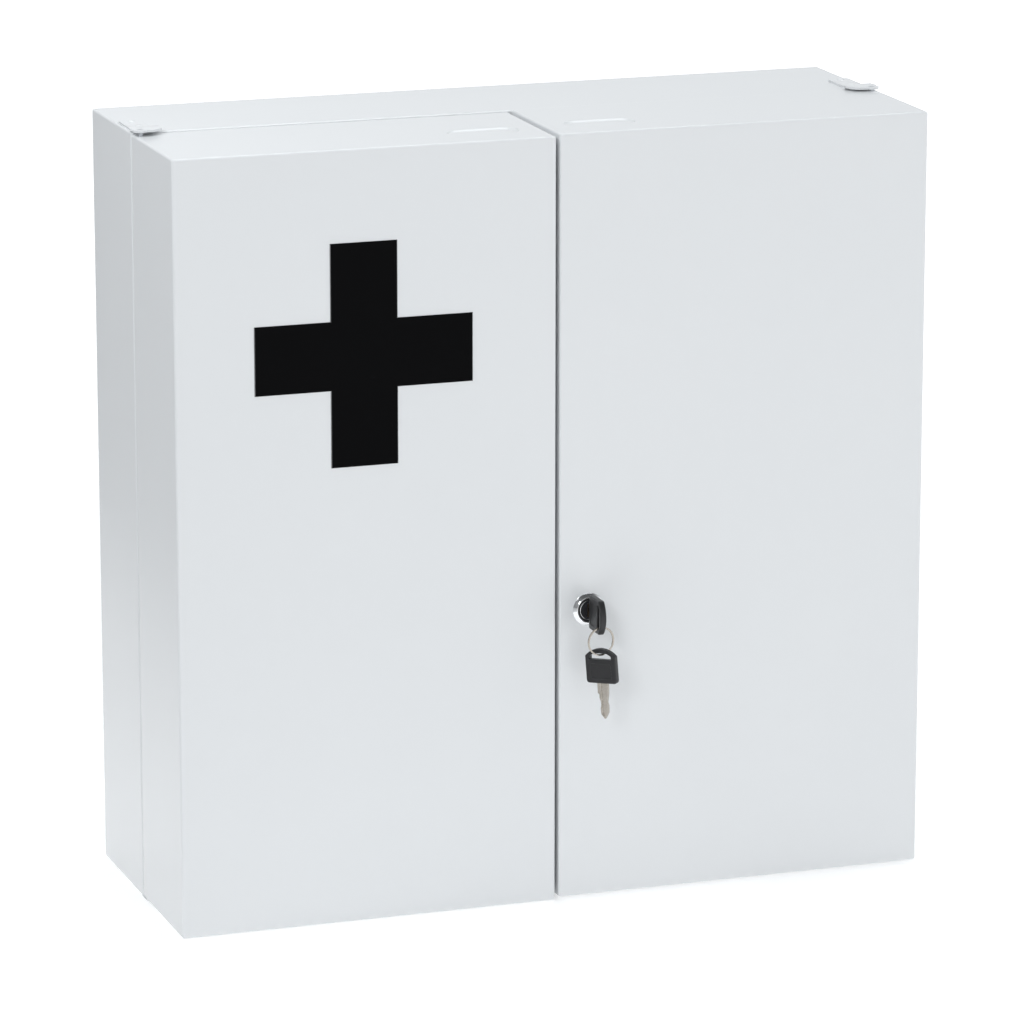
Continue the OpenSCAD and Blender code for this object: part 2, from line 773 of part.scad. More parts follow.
// The second key hangs from the ring by the bar at the end of its head
module at_spare() {
    crossing = ring_yaw - spare_yaw;
    half = (head_t / 2 + ring_wire / 4) / sin(crossing);
    rest_z = ring_z - sqrt(ring_inner * ring_inner - half * half) + spare_room;
    translate([lock_x, bar_y, rest_z]) rotate([0, 0, spare_yaw]) rotate([0, -spare_lean, 0])
        translate([0, 0, head_bar - head_l]) children();
}

body_end_walls();
body_side_walls();
body_flange(body_front);  // body_front_flange
body_flange(body_back - sheet_t);  // body_rear_flange
back_panel();
body_shelf(2);  // upper_shelf
body_shelf(1);  // lower_shelf
body_shelf_lips(2);  // upper_shelf_lips
body_shelf_lips(1);  // lower_shelf_lips
shelf_brackets(2);  // upper_shelf_brackets
shelf_brackets(1);  // lower_shelf_brackets
hinge_tab(left);  // left_hinge_tab
hinge_tab(right);  // right_hinge_tab
tab_rivets(left);  // left_tab_rivets
tab_rivets(right);  // right_tab_rivets
upper_pin(left);  // left_upper_pin
upper_pin(right);  // right_upper_pin
lower_pin(left);  // left_lower_pin
lower_pin(right);  // right_lower_pin
hinge_washer(left);  // left_hinge_washer
hinge_washer(right);  // right_hinge_washer
door_buffers();
magnet_catch(left);  // left_magnet_catch
magnet_catch(right);  // right_magnet_catch
bolt_strike();
door_face(left);  // left_door_face
door_end_walls(left);  // left_door_end_walls
door_side_walls(left);  // left_door_side_walls
door_slot_ends(left);  // left_door_slot_ends
door_flange(left);  // left_door_flange
pivot_plate(left);  // left_pivot_plate
door_shelf(left, 1);  // left_door_shelf_1
door_shelf(left, 2);  // left_door_shelf_2
door_shelf(left, 3);  // left_door_shelf_3
catch_strike(left);  // left_catch_strike
cross_sign();
bolt_guide();
door_bolt();
door_face(right);  // right_door_face
door_end_walls(right);  // right_door_end_walls
door_side_walls(right);  // right_door_side_walls
door_slot_ends(right);  // right_door_slot_ends
door_flange(right);  // right_door_flange
pivot_plate(right);  // right_pivot_plate
door_shelf(right, 1);  // right_door_shelf_1
door_shelf(right, 2);  // right_door_shelf_2
door_shelf(right, 3);  // right_door_shelf_3
catch_strike(right);  // right_catch_strike
lock_rosette();
lock_housing();
lock_nut();
lock_plug();
lock_cam();
cam_screw();
color("silver") at_key() key_blade_shape();  // key_blade
color([0.1, 0.1, 0.11]) at_key() key_head_shape();  // key_head
key_ring();
color("silver") at_spare() key_blade_shape();  // spare_key_blade
color([0.1, 0.1, 0.11]) at_spare() key_head_shape();  // spare_key_head
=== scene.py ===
import json
import math

import bmesh
import bpy
from mathutils import Matrix, Vector

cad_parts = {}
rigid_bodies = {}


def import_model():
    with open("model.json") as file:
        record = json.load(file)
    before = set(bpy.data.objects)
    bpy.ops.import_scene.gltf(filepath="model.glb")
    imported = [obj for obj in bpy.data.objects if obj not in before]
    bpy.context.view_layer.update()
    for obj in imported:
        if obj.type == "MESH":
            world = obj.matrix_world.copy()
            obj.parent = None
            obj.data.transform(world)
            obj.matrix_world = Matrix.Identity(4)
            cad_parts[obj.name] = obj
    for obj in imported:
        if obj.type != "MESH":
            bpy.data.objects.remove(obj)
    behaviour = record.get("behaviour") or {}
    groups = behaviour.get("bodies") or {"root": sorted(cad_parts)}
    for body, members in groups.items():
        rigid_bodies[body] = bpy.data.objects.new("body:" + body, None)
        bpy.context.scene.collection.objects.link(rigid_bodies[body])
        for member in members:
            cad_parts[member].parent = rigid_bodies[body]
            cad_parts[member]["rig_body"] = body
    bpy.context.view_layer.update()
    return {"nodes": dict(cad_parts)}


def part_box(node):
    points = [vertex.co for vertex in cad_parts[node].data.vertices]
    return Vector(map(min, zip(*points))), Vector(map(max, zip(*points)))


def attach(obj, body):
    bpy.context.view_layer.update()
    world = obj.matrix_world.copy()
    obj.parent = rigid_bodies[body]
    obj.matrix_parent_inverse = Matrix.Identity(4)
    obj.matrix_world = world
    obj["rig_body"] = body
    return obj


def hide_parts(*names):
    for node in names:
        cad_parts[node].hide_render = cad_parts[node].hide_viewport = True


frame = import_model()
MM = 0.001
nodes = frame["nodes"]

# The photographer's view: a long lens from the left, a little above the cabinet, on a white table under
# a big soft light, with one lamp at the front left and a small one at the upper left. None of this
# belongs to the cabinet.
CAMERA_AT = Vector((-1.2304, -3.6332, 1.1917))
CAMERA_YAW = math.radians(-18.98)
CAMERA_DOWN = math.radians(13.96)
CAMERA_LENS = 199.3
QUARTER_TURN = math.pi / 2
SENSOR_WIDTH = 36
CLIP_NEAR = 0.1
CLIP_FAR = 50

camera = bpy.data.objects.new("camera", bpy.data.cameras.new("camera"))
camera.data.sensor_width = SENSOR_WIDTH
camera.data.lens = CAMERA_LENS
camera.data.clip_start = CLIP_NEAR
camera.data.clip_end = CLIP_FAR
camera.matrix_world = (
    Matrix.Translation(CAMERA_AT)
    @ Matrix.Rotation(CAMERA_YAW, 4, "Z")
    @ Matrix.Rotation(QUARTER_TURN - CAMERA_DOWN, 4, "X")
)
bpy.context.scene.collection.objects.link(camera)
bpy.context.scene.camera = camera
bpy.context.scene.view_settings.view_transform = "Standard"


AIR_TINT = (0.955, 0.98, 1.0)


def soft_light(name, at, target, size, watts):
    lamp = bpy.data.lights.new(name, "AREA")
    lamp.shape = "RECTANGLE"
    lamp.size, lamp.size_y = size
    lamp.energy = watts
    lamp.color = AIR_TINT
    holder = bpy.data.objects.new(name, lamp)
    holder.location = at
    holder.rotation_euler = (Vector(target) - Vector(at)).to_track_quat("-Z", "Y").to_euler()
    holder.visible_camera = False
    bpy.context.scene.collection.objects.link(holder)


CABINET_MIDDLE = (0, -0.05, 0.27)
LEFT_SIDE_TOP = (-0.27, -0.08, 0.4)
STUDIO_LIGHTS = {
    "top_light": {"at": (0.7, 0.15, 3.2), "target": (0.7, 0.14, 0), "size": (2.2, 1.6), "watts": 45},
    "front_light": {"at": (-2.2, -3.0, 1.9), "target": CABINET_MIDDLE, "size": (0.9, 0.9), "watts": 27},
    "corner_light": {"at": (-0.9, -0.17, 1.2), "target": LEFT_SIDE_TOP, "size": (0.4, 0.4), "watts": 4.7},
}
for name, settings in STUDIO_LIGHTS.items():
    soft_light(name, **settings)


class Wire:
    """A socket that takes part in sums: an expression on it adds its Math nodes."""

    def __init__(self, finish, socket):
        self.finish = finish
        self.socket = socket

    def maths(self, operation, first, second):
        return self.finish.add("ShaderNodeMath", {"operation": operation}, {0: first, 1: second})

    def __add__(self, other):
        return self.maths("ADD", self, other)

    __radd__ = __add__

    def __mul__(self, other):
        return self.maths("MULTIPLY", self, other)

    __rmul__ = __mul__

    def __sub__(self, other):
        return self.maths("SUBTRACT", self, other)

    def __rsub__(self, other):
        return self.maths("SUBTRACT", other, self)

    def __pow__(self, other):
        return self.maths("POWER", self, other)


# The Mix node gives its colour sockets the same names as its number sockets, so they go by their order.
MIX_COLOUR_A = 6
MIX_COLOUR_B = 7
MIX_COLOUR_OUT = 2


class Finish:
    """A material, or the studio's surroundings: its shader, and the nodes that are added before it."""

    def __init__(self, name, kind="materials", shader="Principled BSDF"):
        self.material = getattr(bpy.data, kind).new(name)
        self.material.use_nodes = True
        self.tree = self.material.node_tree
        self.shader = self.tree.nodes[shader]

    def add(self, kind, settings, sockets, out=0):
        node = self.tree.nodes.new(kind)
        for key, value in settings.items():
            if key == "stops":
                while len(node.color_ramp.elements) < len(value):
                    node.color_ramp.elements.new(0.5)
                for element, (place, shade) in zip(node.color_ramp.elements, value):
                    element.position = place
                    element.color = (shade, shade, shade, 1)
            else:
                setattr(node, key, value)
        for key, value in sockets.items():
            if isinstance(value, Wire):
                self.tree.links.new(value.socket, node.inputs[key])
            else:
                node.inputs[key].default_value = value
        return Wire(self, node.outputs[out])

    def place(self):
        return self.add("ShaderNodeTexCoord", {}, {}, "Object")

    def stretched(self, scale):
        return self.add("ShaderNodeMapping", {}, {"Vector": self.place(), "Scale": scale})

    def cloud(self, scale, detail=3.0, roughness=0.5, vector=None):
        """Soft noise from 0 to 1; scale is in waves per metre."""
        sockets = {"Vector": vector or self.place(), "Scale": scale}
        sockets |= {"Detail": detail, "Roughness": roughness}
        return self.add("ShaderNodeTexNoise", {}, sockets, "Fac")

    def ramp(self, value, *stops):
        return self.add("ShaderNodeValToRGB", {"stops": stops}, {"Fac": value}, "Color")

    def tint(self, mask, first, second):
        """The first colour where the mask is 0, the second where it is 1."""
        sockets = {"Factor": mask, MIX_COLOUR_A: colour(first), MIX_COLOUR_B: colour(second)}
        return self.add("ShaderNodeMix", {"data_type": "RGBA"}, sockets, MIX_COLOUR_OUT)

    def bump(self, height, strength, distance, under=None):
        sockets = {"Height": height, "Strength": strength, "Distance": distance}
        if under:
            sockets["Normal"] = under
        return self.add("ShaderNodeBump", {}, sockets)

    def set(self, **sockets):
        for key, value in sockets.items():
            socket = self.shader.inputs[key.replace("_", " ")]
            if isinstance(value, Wire):
                self.tree.links.new(value.socket, socket)
            elif isinstance(value, tuple):
                socket.default_value = colour(value)
            else:
                socket.default_value = value
        return self.material


def colour(rgb):
    return rgb if isinstance(rgb, Wire) else (*rgb, 1.0)


# The studio's walls and ceiling: bright on the right, dim on the left, a little brighter in front and
# behind than between, and dim overhead, where only the big soft light shines.
LEFT_TO_RIGHT = 0.37
FRONT_AND_BACK = 0.18
MIDDLE_GLOW = 0.55
CEILING_GLOW = 0.12
CEILING_EDGE = ((0.35, 0.0), (0.80, 1.0))
BLACK = (0.0, 0.0, 0.0)
studio = Finish("studio", "worlds", "Background")
heading = studio.add("ShaderNodeTexCoord", {}, {}, "Generated")
across, away, upward = (
    studio.add("ShaderNodeSeparateXYZ", {}, {"Vector": heading}, axis) for axis in range(3)
)
walls = MIDDLE_GLOW + LEFT_TO_RIGHT * across + FRONT_AND_BACK * away**2
ceiling = studio.ramp(upward, *CEILING_EDGE)
studio.set(Color=studio.tint(walls * (1 - ceiling) + CEILING_GLOW * ceiling, BLACK, AIR_TINT))
bpy.context.scene.world = studio.material


# The table: a wide sheet of matt white paper. It glows, a painted light that grows stronger away from the
# cabinet, so that it stays white round the cabinet. On its left it is painted darker and glows less, a
# painted shade, so that it throws less light on the cabinet's left side.
TABLE_SIZE = 30.0
TABLE_GLOW_NEAR = 0.33
TABLE_GLOW_FAR = 0.80
TABLE_NEAR_AND_FAR = (0.15, 0.50)
TABLE_LEFT_SHADE = ((0.3625, 0.12), (0.395, 1.0))
RAMP_PER_METRE = 0.25
PAPER_WHITE = (0.965, 0.968, 0.97)
PAPER_CLOUD = (0.95, 0.955, 0.96)
PAPER_SHADED = (0.62, 0.625, 0.63)
PAPER_ROUGHNESS = 0.9
half_table = TABLE_SIZE / 2
table_mesh = bpy.data.meshes.new("table_top")
corners = [(x * half_table, y * half_table, 0) for x, y in ((-1, -1), (1, -1), (1, 1), (-1, 1))]
table_mesh.from_pydata(corners, [], [(0, 1, 2, 3)])
table_top = bpy.data.objects.new("table_top", table_mesh)
table_paper = Finish("table_paper")
grey = table_paper.cloud(scale=2.0)
spot = table_paper.place()
reach = table_paper.add("ShaderNodeVectorMath", {"operation": "LENGTH"}, {0: spot}, "Value")
sideways = table_paper.add("ShaderNodeSeparateXYZ", {}, {"Vector": spot})
# painted shade: this mask darkens the paper and dims its glow on the left
lit_side = table_paper.ramp(0.5 + RAMP_PER_METRE * sideways, *TABLE_LEFT_SHADE)
glow_stops = zip(TABLE_NEAR_AND_FAR, (TABLE_GLOW_NEAR, TABLE_GLOW_FAR))
paper = table_paper.tint(grey, PAPER_CLOUD, PAPER_WHITE)
table_paper.set(
    Base_Color=table_paper.tint(lit_side, PAPER_SHADED, paper),
    Roughness=PAPER_ROUGHNESS,
    Emission_Color=lit_side * table_paper.ramp(RAMP_PER_METRE * reach, *glow_stops),
    Emission_Strength=1.0,
)
table_top.data.materials.append(table_paper.material)
bpy.context.scene.collection.objects.link(table_top)


# The cabinet body: one sheet of 0.8 mm steel folded into a box, open to the doors, with flanges turned
# in at the front and the back. It is welded at the corners and powder coated white, inside and out.
SHEET = 0.8 * MM
BEND = 1.6 * MM
BEND_STEPS = 5
BODY_FLANGE = 12 * MM
WHITE = (0.800, 0.812, 0.822)
WHITE_DEEP = (0.775, 0.790, 0.803)
FLAT_ANGLE = math.radians(0.5)
WELD_DISTANCE = 0.001 * MM
BEND_SHARPNESS = 40
PRESSED_SHARPNESS = 32
CREASE_ANGLE = math.radians(PRESSED_SHARPNESS)
AREA_WEIGHT = 100
PAST_THE_BOX = 1.0


def white_paint(name, wave_seed):
    """Semi-gloss powder coat: fine orange peel, and the sheet's own long soft waves under it."""
    paint = Finish(name)
    patches = paint.cloud(scale=9.0, detail=2.0)
    grain = paint.cloud(scale=1500.0, detail=2.0)
    peel = paint.cloud(scale=420.0, detail=1.0)
    long_wave = paint.add(
        "ShaderNodeTexNoise",
        {"noise_dimensions": "4D"},
        {"Vector": paint.place(), "Scale": 3.2, "Detail": 1.0, "W": wave_seed},
        "Fac",
    )
    skin = paint.bump(peel + 0.35 * grain, strength=0.10, distance=0.12 * MM)
    return paint.set(
        Base_Color=paint.tint(0.7 * patches + 0.3 * grain, WHITE_DEEP, WHITE),
        Roughness=0.36 + 0.10 * patches + 0.06 * grain,
        Normal=paint.bump(long_wave, strength=0.35, distance=4 * MM, under=skin),
        Specular_IOR_Level=0.5,
        Coat_Weight=0.55,
        Coat_Roughness=0.13,
    )


def new_piece(name, mesh, body, material, cad_nodes=(), bevel=None, bevel_steps=2):
    """Puts a finished mesh in the scene: bevelled, shaded by its faces' areas and riding on its body."""
    piece = bpy.data.objects.new(name, mesh)
    bpy.context.scene.collection.objects.link(piece)
    mesh.materials.append(material)
    if bevel:
        edge = piece.modifiers.new("edge", "BEVEL")
        edge.width = bevel
        edge.segments = bevel_steps
        edge.limit_method = "ANGLE"
        edge.angle_limit = CREASE_ANGLE
    for face in mesh.polygons:
        face.use_smooth = True
    smooth = piece.modifiers.new("shading", "WEIGHTED_NORMAL")
    smooth.keep_sharp = True
    smooth.weight = AREA_WEIGHT
    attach(piece, body)
    if cad_nodes:
        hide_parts(*cad_nodes)
    return piece


def finished_mesh(form, name, sharp_angle=BEND_SHARPNESS):
    """Turns a bmesh into a mesh whose creases over the angle stay sharp."""
    bmesh.ops.recalc_face_normals(form, faces=form.faces)
    limit = math.radians(sharp_angle)
    for edge in form.edges:
        edge.smooth = len(edge.link_faces) == 2 and edge.calc_face_angle(0) < limit
    mesh = bpy.data.meshes.new(name)
    form.to_mesh(mesh)
    form.free()
    return mesh


def scratch(form, name):
    """A throwaway object that a boolean can use."""
    bmesh.ops.recalc_face_normals(form, faces=form.faces)
    mesh = bpy.data.meshes.new(name)
    form.to_mesh(mesh)
    form.free()
    piece = bpy.data.objects.new(name, mesh)
    bpy.context.scene.collection.objects.link(piece)
    return piece


def cleaned(form):
    """Welds the points that meet and dissolves the edges inside flat faces."""
    bmesh.ops.remove_doubles(form, verts=form.verts, dist=WELD_DISTANCE)
    bmesh.ops.dissolve_limit(form, angle_limit=FLAT_ANGLE, verts=form.verts, edges=form.edges)
    return form


def carved(form, steps):
    """Adds or cuts each (operation, bmesh) in turn and returns the result as a bmesh."""
    work = scratch(form, "blank")
    tools = []
    for operation, tool_form in steps:
        tool = scratch(tool_form, "tool")
        tools.append(tool)
        step = work.modifiers.new("step", "BOOLEAN")
        step.operation = operation
        step.solver = "EXACT"
        step.object = tool
    bpy.context.view_layer.update()
    shaped = work.evaluated_get(bpy.context.evaluated_depsgraph_get())
    result = bmesh.new()
    result.from_mesh(shaped.to_mesh())
    shaped.to_mesh_clear()
    for throwaway in [work, *tools]:
        bpy.data.objects.remove(throwaway)
    return cleaned(result)


def block(lo, hi, rounding=0.0, steps=3):
    """A box between two corners, with its edges rounded if asked."""
    form = bmesh.new()
    bmesh.ops.create_cube(form, size=1)
    lo, hi = Vector(lo), Vector(hi)
    bmesh.ops.scale(form, vec=hi - lo, verts=form.verts)
    bmesh.ops.translate(form, vec=(lo + hi) / 2, verts=form.verts)
    if rounding:
        bmesh.ops.bevel(
            form, geom=form.edges[:], offset=rounding, segments=steps, profile=0.5, affect="EDGES"
        )
    return form


def rod(centre, radius, length, axis="Z", sides=64):
    """A round bar that starts at the centre and runs upwards or backwards."""
    form = bmesh.new()
    bmesh.ops.create_cone(
        form, cap_ends=True, segments=sides, radius1=radius, radius2=radius, depth=length
    )
    bmesh.ops.translate(form, vec=(0, 0, length / 2), verts=form.verts)
    if axis == "Y":
        bmesh.ops.rotate(form, matrix=Matrix.Rotation(-QUARTER_TURN, 3, "X"), verts=form.verts)
    bmesh.ops.translate(form, vec=centre, verts=form.verts)
    return form


def folded_box(lo, hi, flange, open_front):
    """A sheet box with rounded bends, open at the back, and at the front if asked, inside its flanges."""
    outer = block(lo, hi, BEND, BEND_STEPS)
    inner = block(Vector(lo) + Vector((SHEET,) * 3), Vector(hi) - Vector((SHEET,) * 3), BEND - SHEET, 4)
    reach = PAST_THE_BOX if open_front else (hi[1] - lo[1]) / 2
    window_lo = (lo[0] + flange, hi[1] - reach, lo[2] + flange)
    window = block(window_lo, (hi[0] - flange, hi[1] + PAST_THE_BOX, hi[2] - flange))
    return outer, [("DIFFERENCE", inner), ("DIFFERENCE", window)]


EAR_WIDTH = 16 * MM
EAR_BACK = 11.8 * MM
EAR_STEPS = 16
PIN_INSET = 4 * MM
body_lo, body_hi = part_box("body_end_walls")
FRONT_OF_BODY = -50 * MM
PIN_AT = (261 * MM, -59.2 * MM)
PIN_RADIUS = 2 * MM


def hinge_ear(side):
    """The tongue of the body's bottom sheet that carries a lower hinge pin."""
    form = bmesh.new()
    inner_end = EAR_WIDTH - PIN_INSET
    rounding = [math.pi + QUARTER_TURN * i / EAR_STEPS for i in range(EAR_STEPS + 1)]
    outline = [(PIN_INSET * math.cos(a), PIN_INSET * math.sin(a)) for a in rounding]
    outline += [(inner_end, -PIN_INSET), (inner_end, EAR_BACK), (-PIN_INSET, EAR_BACK)]
    ring = [form.verts.new((side * (PIN_AT[0] - x), PIN_AT[1] + y, 0)) for x, y in outline]
    face = form.faces.new(ring)
    lift = bmesh.ops.extrude_face_region(form, geom=[face])["geom"]
    verts = [item for item in lift if isinstance(item, bmesh.types.BMVert)]
    bmesh.ops.translate(form, vec=(0, 0, SHEET), verts=verts)
    return form


blank, cuts = folded_box((body_lo[0], FRONT_OF_BODY, 0), tuple(body_hi), BODY_FLANGE, True)
for side in (-1, 1):
    cuts.append(("UNION", hinge_ear(side)))
body_white = white_paint("white_paint_body", wave_seed=3.1)
new_piece(
    "body_shell_sheet",
    finished_mesh(carved(blank, cuts), "body_shell_sheet"),
    "cabinet_body",
    body_white,
    ["body_end_walls", "body_side_walls", "body_front_flange", "body_rear_flange"],
)


def eased(node_name, material, ease, steps=2):
    """A CAD node's own shape with its sharp edges eased, as pressing, plating or moulding leaves them."""
    form = bmesh.new()
    form.from_mesh(nodes[node_name].data)
    mesh = finished_mesh(cleaned(form), node_name + "_eased", PRESSED_SHARPNESS)
    body = nodes[node_name]["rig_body"]
    return new_piece(mesh.name, mesh, body, material, [node_name], ease, steps)


inner_white = white_paint("white_paint_inside", wave_seed=7.7)
eased("back_panel", inner_white, 0.25 * MM)


# The two shelves in the body: each is one sheet with a lip folded up at the front and a flange folded
# down at the back, coated with the body and laid on its brackets.
SHELF_BEND = 1.2 * MM
SHELF_EDGE = 0.2 * MM


def bent_path(points, radius, steps=5):
    """A path through the points whose inner corners are true arcs."""
    path = [Vector(points[0])]
    for before, corner, after in zip(points, points[1:], points[2:]):
        corner = Vector(corner)
        back = (Vector(before) - corner).normalized() * radius
        ahead = (Vector(after) - corner).normalized() * radius
        for i in range(steps + 1):
            angle = QUARTER_TURN * i / steps
            path.append(corner + back * (1 - math.sin(angle)) + ahead * (1 - math.cos(angle)))
    return path + [Vector(points[-1])]


def folded_strip(points, low_x, high_x):
    """A sheet of even thickness that follows the points in the YZ plane, folded at each of them."""
    path = bent_path(points, SHELF_BEND - SHEET / 2)
    sides = ([], [])
    for i, point in enumerate(path):
        along = (path[min(i + 1, len(path) - 1)] - path[max(i - 1, 0)]).normalized()
        across = Vector((-along[1], along[0])) * SHEET / 2
        sides[0].append(point + across)
        sides[1].append(point - across)
    outline = sides[0] + sides[1][::-1]
    form = bmesh.new()
    ends = [[form.verts.new((x, p[0], p[1])) for p in outline] for x in (low_x, high_x)]
    last = len(outline) - 1
    for i in range(last + 1):
        j = (i + 1) % (last + 1)
        form.faces.new((ends[0][i], ends[0][j], ends[1][j], ends[1][i]))
    for end in ends:
        for i in range(len(path) - 1):
            form.faces.new((end[i], end[i + 1], end[last - i - 1], end[last - i]))
    return form


for word in ("upper", "lower"):
    floor_lo, floor_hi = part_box(word + "_shelf")
    lips_lo, lips_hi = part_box(word + "_shelf_lips")
    half = SHEET / 2
    points = [
        (floor_lo[1] + half, lips_hi[2]),
        (floor_lo[1] + half, floor_lo[2] + half),
        (floor_hi[1] - half, floor_lo[2] + half),
        (floor_hi[1] - half, lips_lo[2]),
    ]
    new_piece(
        word + "_shelf_sheet",
        finished_mesh(folded_strip(points, floor_lo[0], floor_hi[0]), word + "_shelf_sheet"),
        "cabinet_body",
        inner_white,
        [word + "_shelf", word + "_shelf_lips"],
        SHELF_EDGE,
    )


# The shelf brackets, pivot plates, strike plates, guide and strike: small pressings in zinc-plated steel,
# spot welded or screwed on. The plating is bluish and slightly cloudy.
ZINC = (0.66, 0.68, 0.70)
ZINC_DARK = (0.50, 0.52, 0.55)
RUBBED_UPRIGHT = (1, 1, 14)


def zinc_plate(name):
    zinc = Finish(name)
    cloud = zinc.cloud(scale=160.0, detail=4.0)
    flakes = zinc.add("ShaderNodeTexVoronoi", {}, {"Vector": zinc.place(), "Scale": 700.0}, "Distance")
    rub = zinc.cloud(scale=60.0, detail=5.0, roughness=0.7, vector=zinc.stretched(RUBBED_UPRIGHT))
    return zinc.set(
        Base_Color=zinc.tint(0.6 * cloud + 0.4 * flakes, ZINC_DARK, ZINC),
        Metallic=1.0,
        Roughness=0.26 + 0.16 * cloud + 0.10 * rub,
        Normal=zinc.bump(rub + 0.4 * flakes, strength=0.12, distance=0.2 * MM),
    )


zinc_steel = zinc_plate("zinc_steel")
ZINC_NODES = [
    "upper_shelf_brackets", "lower_shelf_brackets", "left_pivot_plate", "right_pivot_plate",
    "left_catch_strike", "right_catch_strike", "bolt_guide", "bolt_strike", "door_bolt",
    "lock_nut", "lock_cam", "cam_screw", "left_upper_pin", "right_upper_pin",
    "left_lower_pin", "right_lower_pin",
]
for name in ZINC_NODES:
    eased(name, zinc_steel, 0.25 * MM)


# The hinge tabs: cranked straps of 1.5 mm steel, fixed on the body's top by two rivets and reaching over
# each door to its upper pin. They are coated with the body, and the rivets' domed heads too.
RIVET_DOME = (
    (0.0, 0.8), (0.8, 0.77), (1.5, 0.66), (2.1, 0.46), (2.45, 0.22), (2.6, 0.0), (1.48, 0.0),
    (1.48, -1.5),
)
RIVET_PITCH = 19 * MM
RIVET_STEPS = 32
DOME_SHARPNESS = 60


def turned(profile, at, along="Y", steps=96, closed=True):
    """A solid turned on an axis from (radius, depth) points in mm, round a closed section or a dome."""
    form = bmesh.new()
    rings = []
    for i in range(steps):
        angle = 2 * math.pi * i / steps
        ring = []
        for radius, depth in profile:
            x, z, y = radius * MM * math.cos(angle), radius * MM * math.sin(angle), depth * MM
            spot = (x, y, z) if along == "Y" else (x, z, y)
            ring.append(form.verts.new(Vector(at) + Vector(spot)))
        rings.append(ring)
    count = len(profile)
    for i in range(steps):
        this, after = rings[i], rings[(i + 1) % steps]
        for j in range(count if closed else count - 1):
            k = (j + 1) % count
            form.faces.new((this[j], this[k], after[k], after[j]))
    if not closed:
        form.faces.new([ring[-1] for ring in rings])
        bmesh.ops.remove_doubles(form, verts=form.verts, dist=WELD_DISTANCE)
    return form


def joined(forms):
    """Several separate solids in one bmesh."""
    whole = bmesh.new()
    for form in forms:
        mesh = bpy.data.meshes.new("joined")
        form.to_mesh(mesh)
        form.free()
        whole.from_mesh(mesh)
        bpy.data.meshes.remove(mesh)
    return whole


tab_white = white_paint("white_paint_tabs", wave_seed=5.2)
for side in ("left", "right"):
    eased(side + "_hinge_tab", tab_white, 0.3 * MM, 3)
    rivets_lo, rivets_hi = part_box(side + "_tab_rivets")
    middle = (rivets_lo + rivets_hi) / 2
    dome_z = rivets_hi[2] - RIVET_DOME[0][1] * MM
    spots = [(middle[0], middle[1] + step * RIVET_PITCH / 2, dome_z) for step in (-1, 1)]
    heads = [turned(RIVET_DOME, spot, "Z", RIVET_STEPS, closed=False) for spot in spots]
    new_piece(
        side + "_rivet_heads",
        finished_mesh(joined(heads), side + "_rivet_heads", DOME_SHARPNESS),
        "cabinet_body",
        tab_white,
        [side + "_tab_rivets"],
    )


# The hinge washers and the magnetic catches: moulded in white plastic, a little warmer than the paint,
# with rounded edges. The washers lie on the body's ears and the catches under its top.
PLASTIC_WHITE = (0.83, 0.828, 0.81)
PLASTIC_DEEP = (0.78, 0.775, 0.75)


def moulded_white(name):
    moulded = Finish(name)
    flow = moulded.cloud(scale=120.0, detail=3.0)
    return moulded.set(
        Base_Color=moulded.tint(flow, PLASTIC_DEEP, PLASTIC_WHITE),
        Roughness=0.42 + 0.12 * flow,
        Normal=moulded.bump(flow, strength=0.08, distance=0.2 * MM),
    )


white_plastic = moulded_white("white_plastic")
for side in ("left", "right"):
    eased(side + "_hinge_washer", white_plastic, 0.15 * MM)
    eased(side + "_magnet_catch", white_plastic, 0.8 * MM, 4)


# The door buffers: soft grey rubber discs glued on the body's front flange, so that the doors close
# without a clang.
RUBBER_GREY = (0.055, 0.055, 0.06)
RUBBER_DUSTY = (0.11, 0.11, 0.115)
rubber = Finish("buffer_rubber")
dust = rubber.cloud(scale=700.0, detail=3.0)
rubber.set(
    Base_Color=rubber.tint(dust, RUBBER_GREY, RUBBER_DUSTY),
    Roughness=0.75 + 0.15 * dust,
    Normal=rubber.bump(dust, strength=0.15, distance=0.2 * MM),
)
eased("door_buffers", rubber.material, 0.4 * MM, 4)


# The doors: each is a deep box of the same folded sheet, open to the body, with a finger grip pressed in
# its top. The bottom corner at the hinge is notched for the body's ear, and both meeting walls have a
# slot for the lock's cam.
DOOR_FLANGE = 10 * MM
GRIP_LENGTH = 48 * MM
GRIP_WIDTH = 18 * MM
GRIP_AT = (41 * MM, 34 * MM)
GRIP_PROFILE = (
    (-2.2, 1.3), (-1.2, 1.26), (-0.5, 1.12), (0.0, 0.82), (0.4, 0.44), (0.8, 0.15), (1.2, 0.03),
    (1.6, 0.0), (2.0, -0.03), (2.0, -1.0),
)
GRIP_SHELL_DEPTHS = (2.1, 0.4)
LOCK_AT = (22.4 * MM, 204 * MM)
EAR_CORNER = (12 * MM, 9.2 * MM)
NOTCH_ROOM = 1 * MM
NOTCH_RADIUS = math.hypot(*EAR_CORNER) + NOTCH_ROOM
NOTCH_CUT = 0.1 * MM
PIN_ROOM = 0.08 * MM
LOCK_HOLE_RADIUS = 8.4 * MM
LOCK_HOLE_DEPTH = 14 * MM
PAST_THE_SHEET = 10 * MM
PIN_HOLE_START = 400 * MM
PIN_HOLE_LENGTH = 300 * MM
CAM_WINDOW = ((-2.85 * MM, -129.8 * MM, 166 * MM), (2.85 * MM, -121.3 * MM, 214 * MM))


def oblong(length, width, z, corner_points=16):
    """Points round a slot-shaped outline in the XY plane."""
    radius = width / 2
    points = []
    for end, start in ((1, -QUARTER_TURN), (-1, QUARTER_TURN)):
        for i in range(corner_points + 1):
            angle = start + math.pi * i / corner_points
            x = end * (length / 2 - radius) + radius * math.cos(angle)
            points.append((x, radius * math.sin(angle), z))
    return points


